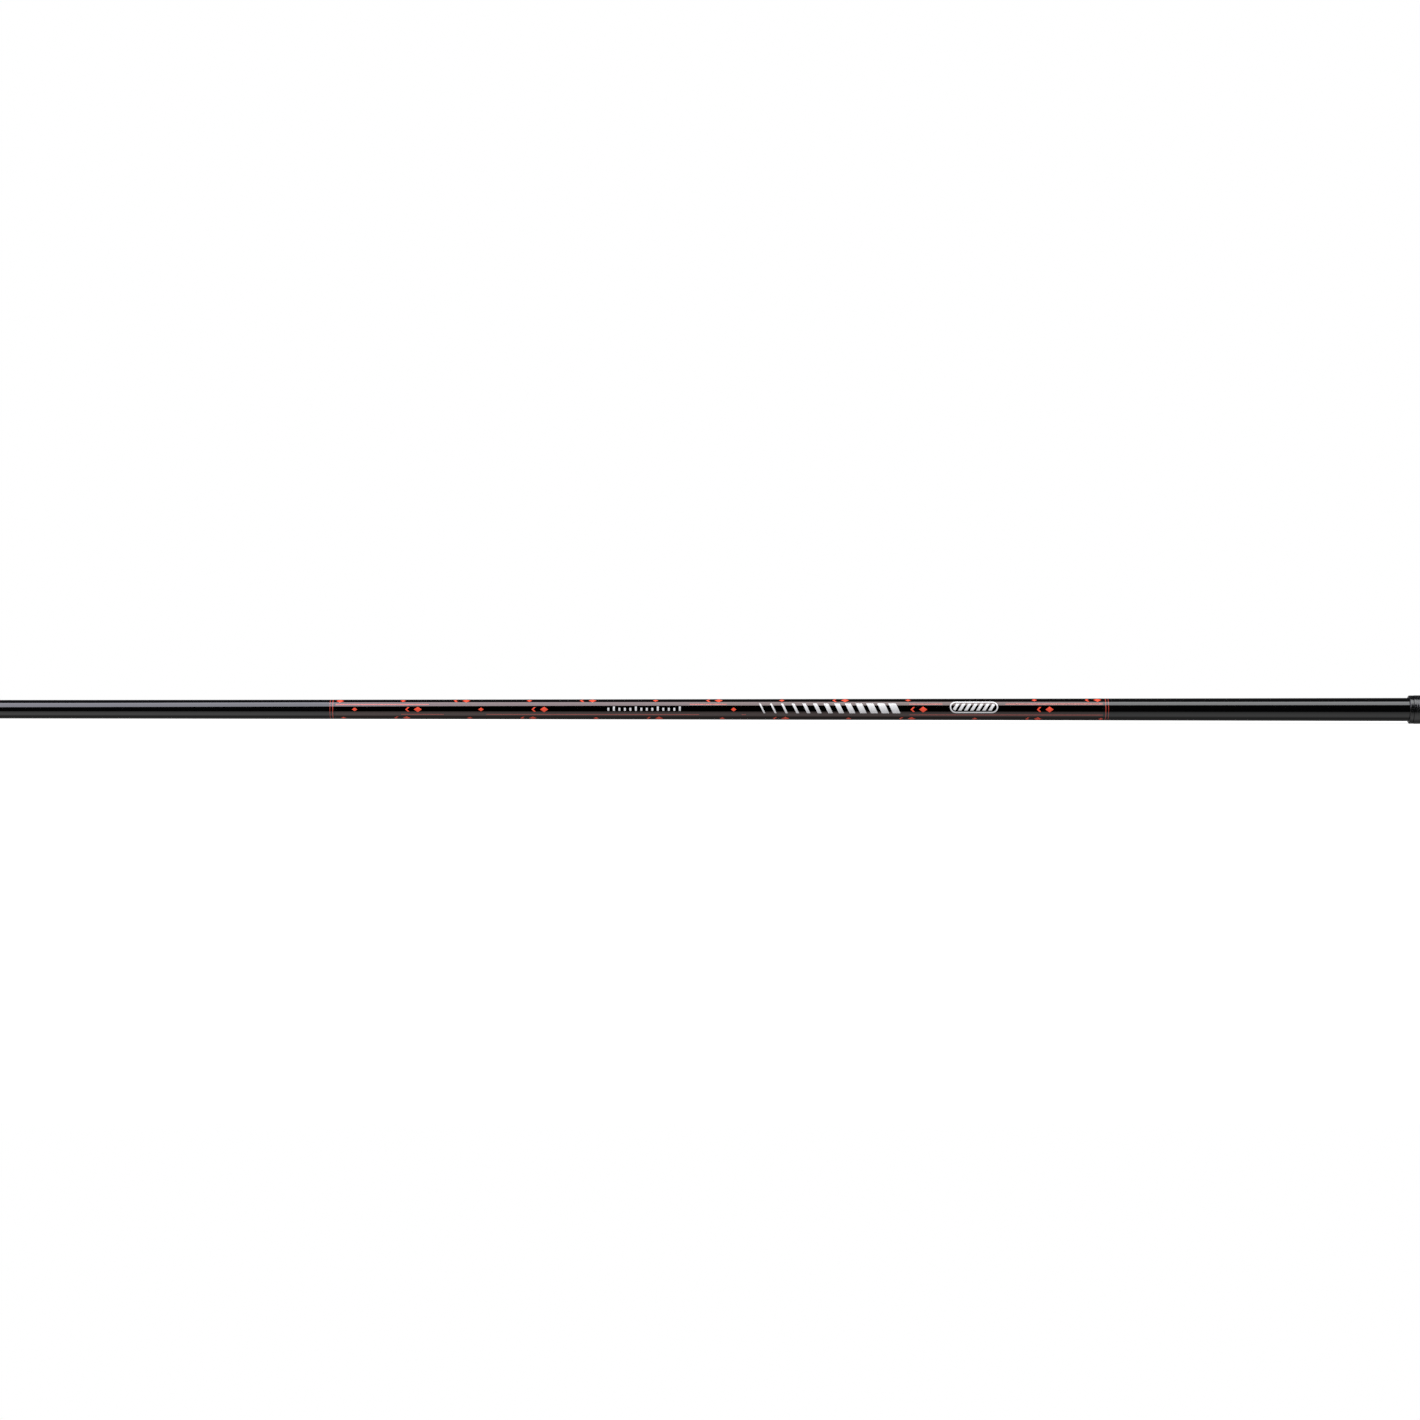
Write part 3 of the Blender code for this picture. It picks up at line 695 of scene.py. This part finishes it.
CAP_RADIUS = 10.42
CAP_LENGTH = 26.6
CAP_REAR = 0.4
CAP_CAVITY = 7.52
CAP_CAVITY_FRONT = 23.4
FOOT_SEAT = 2.5
FOOT_SEAT_RADIUS = 8.57
GRIP_FRONT = 25.3
GROOVES = 13
GROOVE_PITCH = 1.46
GROOVE_HALF_WIDTH = 0.27
TURNED_DEPTH = 0.14
SEAL_GROOVE = 25.4
SEAL_GROOVE_OUTSIDE = 8.7
SEAL_GROOVE_INSIDE = 7.1
SPIGOT_RADIUS = 6.073
SPIGOT_END = 36.325
SPIGOT_BORE = 4.0
RIDGE_HEIGHT = 0.5
rear_along, rear_radius = rounded(
    [
        (FOOT_SEAT, FOOT_SEAT_RADIUS, 0),
        (CAP_REAR, FOOT_SEAT_RADIUS, 0.2),
        (CAP_REAR, CAP_RADIUS, 1.4),
        (6.4, CAP_RADIUS, 0),
        (12.0, 9.0, 0),
    ]
)
grip_along = np.linspace(GRIP_FRONT - GROOVES * GROOVE_PITCH, GRIP_FRONT, GROOVES * 16 + 1)
in_groove = np.abs((GRIP_FRONT - grip_along) / GROOVE_PITCH % 1 - 0.5) * GROOVE_PITCH / GROOVE_HALF_WIDTH
grip_radius = CAP_RADIUS - TURNED_DEPTH * (0.5 + 0.5 * np.cos(np.pi * np.clip(in_groove, 0, 1)))
front_along, front_radius = rounded(
    [
        (GRIP_FRONT, CAP_RADIUS, 0),
        (GRIP_FRONT + 0.3, COLLAR_RADIUS, 0.15),
        (CAP_LENGTH, COLLAR_RADIUS, 0.3),
        (CAP_LENGTH, SEAL_GROOVE_OUTSIDE, 0.1),
        (SEAL_GROOVE, SEAL_GROOVE_OUTSIDE, 0.15),
        (SEAL_GROOVE, SEAL_GROOVE_INSIDE, 0.15),
        (CAP_LENGTH, SEAL_GROOVE_INSIDE, 0.1),
        (CAP_LENGTH, SPIGOT_RADIUS, 0),
        (CAP_LENGTH + 0.2, SPIGOT_RADIUS, 0),
    ]
)
spigot_along = np.arange(CAP_LENGTH + 0.05, SPIGOT_END - 0.6, THREAD_PITCH / THREAD_SIDES)
ridge = thread_rise(
    spigot_along, THREAD_SIDES, first=0.0, last=3.25, half_root=0.4, half_crest=0.235, fade=0.2
)
spigot_radius = SPIGOT_RADIUS + RIDGE_HEIGHT * ridge
inner_along, inner_radius = rounded(
    [
        (SPIGOT_END - 0.4, SPIGOT_RADIUS, 0),
        (SPIGOT_END, SPIGOT_RADIUS, 0.3),
        (SPIGOT_END, SPIGOT_BORE, 0.2),
        (CAP_CAVITY_FRONT, SPIGOT_BORE, 0.3),
        (CAP_CAVITY_FRONT, CAP_CAVITY, 0.6),
        (FOOT_SEAT, CAP_CAVITY, 0),
    ]
)
cap_along = np.concatenate([rear_along[:-2], grip_along, front_along[1:-1], spigot_along, inner_along])
before = np.concatenate([rear_radius[:-2], grip_radius, front_radius[1:-1]])
cap_radius = np.concatenate(
    [
        np.repeat(before[:, None], THREAD_SIDES, axis=1),
        spigot_radius,
        np.repeat(inner_radius[:, None], THREAD_SIDES, axis=1),
    ]
)
cap = spun("screw_cap_moulding", cap_along, cap_radius, THREAD_SIDES)
fit(cap, plastic, "butt_cap", "cap")

# Seal, pad and foot
# Soft parts of the cap, moulded in black rubber: a ring against the collar, the pad that the closed
# sections stand on, with its stem in the spigot, and the foot pressed into the rear end.

SEAL_MIDDLE = 26.15
SEAL_RADIUS = 7.9
SEAL_THICKNESS = 1.3
PAD_REAR = 30.625
PAD_SEAT = 36.625
PAD_FRONT = 38.325
PAD_STEM = 3.7
PAD_HEAD = 5.773
FOOT_RADIUS = 8.27
FOOT_THICKNESS = 2.2
FOOT_RING_PITCH = 1.75
FOOT_RING_DEPTH = 0.28
rubber, place, _, _ = new_finish("black_rubber")
pores = place.noise(2600.0, 3.0)
bloom = place.noise(180.0, 3.0)
grit = place.noise(1400.0, 2.0).ramp(0.66, 0.74)
colour = bloom.ramp(0.35, 0.75).mixed((0.011, 0.011, 0.011, 1), (0.021, 0.021, 0.022, 1))
colour = (grit * 0.5).mixed(colour, (0.07, 0.068, 0.064, 1))
coat(
    place,
    Base_Color=colour,
    Roughness=0.58 + bloom.ramp(0.3, 0.7) * 0.2,
    IOR=1.5,
    Normal=(pores + bloom * 0.6).relief(0.03),
)

ring_turn = np.linspace(0, TURN, 33)[:-1]
seal_along = SEAL_MIDDLE - SEAL_THICKNESS / 2 * np.cos(ring_turn)
seal_radius = SEAL_RADIUS + SEAL_THICKNESS / 2 * np.sin(ring_turn)
seal = spun("seal_ring_rubber", seal_along, seal_radius)
fit(seal, rubber, "cap_seal_ring", "cap_carrier")

pad_section = [
    (PAD_REAR, 0.0, 0),
    (PAD_REAR, PAD_STEM, 0.4),
    (PAD_SEAT, PAD_STEM, 0.15),
    (PAD_SEAT, PAD_HEAD, 0.2),
    (PAD_FRONT, PAD_HEAD, 0.5),
    (PAD_FRONT, 3.2, 0.3),
    (PAD_FRONT - 0.2, 3.0, 0.3),
    (PAD_FRONT - 0.2, 0.0, 0),
]
pad = spun("spigot_pad_rubber", *rounded(pad_section), 128, False)
fit(pad, rubber, "cap_pad", "cap_carrier")

foot_out = np.linspace(0, 7.0, 141)[:-1]
foot_wave = np.sin(TURN * (foot_out / FOOT_RING_PITCH - 0.25))
foot_rings = FOOT_RING_DEPTH * np.clip(1.25 * foot_wave - 0.2, 0, 1)
rim_along, rim_radius = rounded(
    [
        (0.0, 6.0, 0),
        (0.0, FOOT_RADIUS, 0.5),
        (FOOT_THICKNESS, FOOT_RADIUS, 0.15),
        (FOOT_THICKNESS, 0.0, 0),
        (1.0, 0.0, 0),
    ]
)
foot_along = np.concatenate([foot_rings, [0.0], rim_along[1:-1]])
foot_radius = np.concatenate([foot_out, [7.2], rim_radius[1:-1]])
foot = spun("foot_rubber", foot_along, foot_radius, 144, False)
fit(foot, rubber, "cap_foot_disc", "cap")

# Front plug
# Soft rubber again: a waisted knob to pull, a ribbed spigot that grips the blank's bore, and inside it
# a long socket that covers the end of the tip while the pole is carried.

PLUG_SHOULDER = 1079.4
PLUG_REAR = 1065.4
PLUG_FRONT = 1095.4
PLUG_SPIGOT = 5.7
PLUG_KNOB = 9.4
PLUG_WAIST = 8.4
SOCKET_END = 1090.5
SOCKET_RADIUS = 1.9
RIB_PITCH = 3.2
RIB_GROOVE = 0.35
plug_section = [
    (SOCKET_END, 0.0, 0),
    (SOCKET_END, SOCKET_RADIUS, 0.8),
    (PLUG_REAR + 3.2, SOCKET_RADIUS, 0.5),
    (PLUG_REAR, 3.5, 0.3),
    (PLUG_REAR, PLUG_SPIGOT - 0.6, 0.5),
    (PLUG_REAR + 1.5, PLUG_SPIGOT, 0.5),
]
for rib in range(3):
    groove_rear = PLUG_REAR + 3.0 + RIB_PITCH * rib
    plug_section += [
        (groove_rear, PLUG_SPIGOT, 0.2),
        (groove_rear + 0.4, PLUG_SPIGOT - RIB_GROOVE, 0.25),
        (groove_rear + 1.3, PLUG_SPIGOT - RIB_GROOVE, 0.25),
        (groove_rear + 1.7, PLUG_SPIGOT, 0.2),
    ]
plug_section += [
    (PLUG_SHOULDER, PLUG_SPIGOT, 0.15),
    (PLUG_SHOULDER, PLUG_KNOB, 0.3),
    (PLUG_SHOULDER + 3.0, PLUG_KNOB, 0.5),
    (PLUG_SHOULDER + 4.5, PLUG_WAIST, 1.6),
    (PLUG_FRONT - 4.5, PLUG_WAIST, 1.6),
    (PLUG_FRONT - 3.0, PLUG_KNOB, 0.7),
    (PLUG_FRONT, PLUG_KNOB, 1.5),
    (PLUG_FRONT, 0.0, 0),
]
plug = spun("front_plug_rubber", *rounded(plug_section, 8), 144, False)
fit(plug, rubber, "tip_plug", "plug")

# Studio
# A pale floor under the pole and two long softboxes above its front. The gloss mirrors a dome that only
# reflections see: dark in front, the softboxes' bright bands overhead, and dim again behind.

FLOOR = -10.45
STUDIO_LEFT = -5.2
STUDIO_RIGHT = 2.2
WHITE = (1, 1, 1, 1)
BLACK = (0, 0, 0, 1)


def studio_sheet(name, section, stations):
    """A sheet drawn along the pole between stations, from a section of points (y, z) in mm."""
    section = np.array(section, float)
    across, x = np.meshgrid(np.arange(len(section)), stations)
    points = np.stack([x, section[across, 0] * MM, section[across, 1] * MM], axis=-1)
    index = np.arange(points.size // 3).reshape(x.shape)
    corners = [index[:-1, :-1], index[1:, :-1], index[1:, 1:], index[:-1, 1:]]
    faces = np.stack(corners, axis=-1).reshape(-1, 4).tolist()
    mesh = bpy.data.meshes.new(name)
    mesh.from_pydata(points.reshape(-1, 3).tolist(), [], faces)
    mesh.shade_smooth()
    sheet = bpy.data.objects.new(name, mesh)
    bpy.context.scene.collection.objects.link(sheet)
    return sheet


def only_reflected(sheet, material, place, light):
    """Makes a sheet glow with this light, and lets nothing but glossy reflections meet it."""
    sheet.visible_camera = False
    sheet.visible_diffuse = False
    sheet.visible_transmission = False
    sheet.visible_volume_scatter = False
    sheet.visible_shadow = False
    glow = place.node("ShaderNodeEmission", {}, {0: light, 1: 1.0})
    place.node("ShaderNodeOutputMaterial", {}, {0: glow})
    material.cycles.emission_sampling = "NONE"
    sheet.data.materials.append(material)


DOME = 1600.0
dome_turn = np.radians(np.linspace(0, 180, 91))
dome_section = np.stack([-DOME * np.cos(dome_turn), DOME * np.sin(dome_turn) + FLOOR], axis=-1)
dome = studio_sheet("reflected_dome", dome_section, np.linspace(STUDIO_LEFT, STUDIO_RIGHT, 38))
mirrored, place, along, angle = new_finish("reflected_dome")
# The softboxes' lower edge hangs at 46 degrees over the butt and sinks to 25 over the tip, where their
# light is stronger and a little more violet. Their upper edge is highest over the middle.
low_edge = along.ramp(405.0, 1558.0, 45.7, 25.3)
high_edge = 85.0 + 7.0 * along.ramp(-53.0, 492.0) * along.ramp(976.0, 1267.0, 1.0, 0.0)
degrees = angle * (360 / TURN)
lit = (degrees - low_edge).ramp(-0.6, 0.6) * (high_edge - degrees).ramp(-1.0, 1.0)
bright = degrees.ramp(60.0, 76.0, 4.5, 4.9) * along.ramp(129.0, 1400.0, 1.12, 1.3)
bright = bright * along.ramp(1650.0, 2100.0, 1.0, 0.3)
behind = degrees.ramp(110.0, 165.0, 0.04, 0.16) * (degrees > 80.0)
light = along.ramp(250.0, 1218.0).mixed((0.98, 1.0, 1.02, 1), (0.965, 0.96, 1.10, 1))
only_reflected(dome, mirrored, place, (lit * bright + behind).tinted(light))
# A black card just in front of the pole that only reflections see: a painted dark reflection where the
# gloss would otherwise mirror the floor in front.
CARD_FRONT = -28.0
CARD_TOP = 2.0
card_section = [(CARD_FRONT, FLOOR), (CARD_FRONT, CARD_TOP)]
front_card = studio_sheet("reflected_front_card", card_section, [STUDIO_LEFT, STUDIO_RIGHT])
unlit, place, _, _ = new_finish("reflected_front_card")
only_reflected(front_card, unlit, place, BLACK)


def seen(signal, camera_share, glossy_share):
    """How bright the background is to camera, glossy and transmitted rays. Others meet none of it."""
    camera = signal.node("ShaderNodeLightPath", {}, {}, "Is Camera Ray")
    glossy = camera.beside("Is Glossy Ray").greater(camera.beside("Is Transmission Ray"))
    return camera * camera_share + glossy * glossy_share


FLOOR_REACH = 30.0
floor_section = [(-FLOOR_REACH / MM, FLOOR), (FLOOR_REACH / MM, FLOOR)]
floor = studio_sheet("studio_floor", floor_section, [-FLOOR_REACH, FLOOR_REACH])
pale, place, along, _ = new_finish("pale_floor")
aside = abs(place.node("ShaderNodeSeparateXYZ", {}, {0: place}, 1)) / MM
# How far the spot is from the stretch that the pole takes up when it is drawn out.
POLE_MIDDLE = 1500.0
POLE_HALF = 1560.0
MATT_SHARE = 0.4
GLOW_SHARE = 0.34
past_ends = (abs(along - POLE_MIDDLE) - POLE_HALF).greater(0.0)
far = aside.with_side(past_ends).ramp(120.0, 560.0)
matt = place.node("ShaderNodeBsdfDiffuse", {}, {0: (MATT_SHARE, MATT_SHARE, MATT_SHARE, 1)})
glow = (seen(place, 1.0, 0.0) * (GLOW_SHARE + (1 - GLOW_SHARE) * far)).tinted(WHITE)
shown = place.node("ShaderNodeEmission", {}, {0: glow, 1: 1.0})
to_eye = place.node("ShaderNodeAddShader", {}, {0: matt, 1: shown})
# In the gloss the floor shows a painted shadow and a painted bright band: dim right under the pole,
# brightest 10 mm in front, dimmer again beyond, and brighter towards the tip.
painted_shadow_in_gloss = aside.ramp(4.2, 9.4, 0.2, 0.95) * aside.ramp(10.0, 27.0, 1.0, 0.5)
painted_shadow_in_gloss = painted_shadow_in_gloss * along.ramp(250.0, 1000.0, 1.0, 1.35)
in_gloss = place.node("ShaderNodeEmission", {}, {0: (painted_shadow_in_gloss * (1 - far) + far).tinted(WHITE), 1: 1.0})
is_glossy = place.node("ShaderNodeLightPath", {}, {}, "Is Glossy Ray")
both = place.node("ShaderNodeMixShader", {}, {0: is_glossy, 1: to_eye, 2: in_gloss})
place.node("ShaderNodeOutputMaterial", {}, {0: both})
pale.cycles.emission_sampling = "NONE"
floor.data.materials.append(pale)

world = bpy.data.worlds.new("white_surround")
bpy.context.scene.world = world
world.use_nodes = True
world.node_tree.nodes.clear()
sky = Signal(world.node_tree)
FILL = 0.35
strength = FILL + seen(sky, 1 - FILL, 1 - FILL)
surround = sky.node("ShaderNodeBackground", {}, {0: WHITE, 1: strength})
sky.node("ShaderNodeOutputWorld", {}, {0: surround})

SOFTBOX_WIDTH = 4.8
SOFTBOX_DEPTH = 0.68
SOFTBOX_AWAY = 1.6
SOFTBOX_RADIANCE = 4.4
for name, elevation in (("low_softbox", 56.0), ("high_softbox", 80.0)):
    lamp = bpy.data.lights.new(name, "AREA")
    lamp.shape = "RECTANGLE"
    lamp.size = SOFTBOX_WIDTH
    lamp.size_y = SOFTBOX_DEPTH
    lamp.energy = SOFTBOX_RADIANCE * math.pi * SOFTBOX_WIDTH * SOFTBOX_DEPTH
    box = bpy.data.objects.new(name, lamp)
    up = math.radians(elevation)
    box.location = (-POLE_MIDDLE * MM, -SOFTBOX_AWAY * math.cos(up), SOFTBOX_AWAY * math.sin(up))
    box.rotation_euler = (math.pi / 2 - up, 0.0, 0.0)
    box.visible_camera = False
    box.visible_glossy = False
    bpy.context.scene.collection.objects.link(box)

lens = bpy.data.cameras.new("camera")
lens.sensor_width = 36.0
lens.lens = 104.2
camera = bpy.data.objects.new("camera", lens)
camera.location = (-0.5392, -3.0, -0.0004)
camera.rotation_euler = (math.pi / 2, -0.000165, 0.0)
bpy.context.scene.collection.objects.link(camera)
bpy.context.scene.camera = camera

bpy.context.scene.view_settings.view_transform = "Standard"
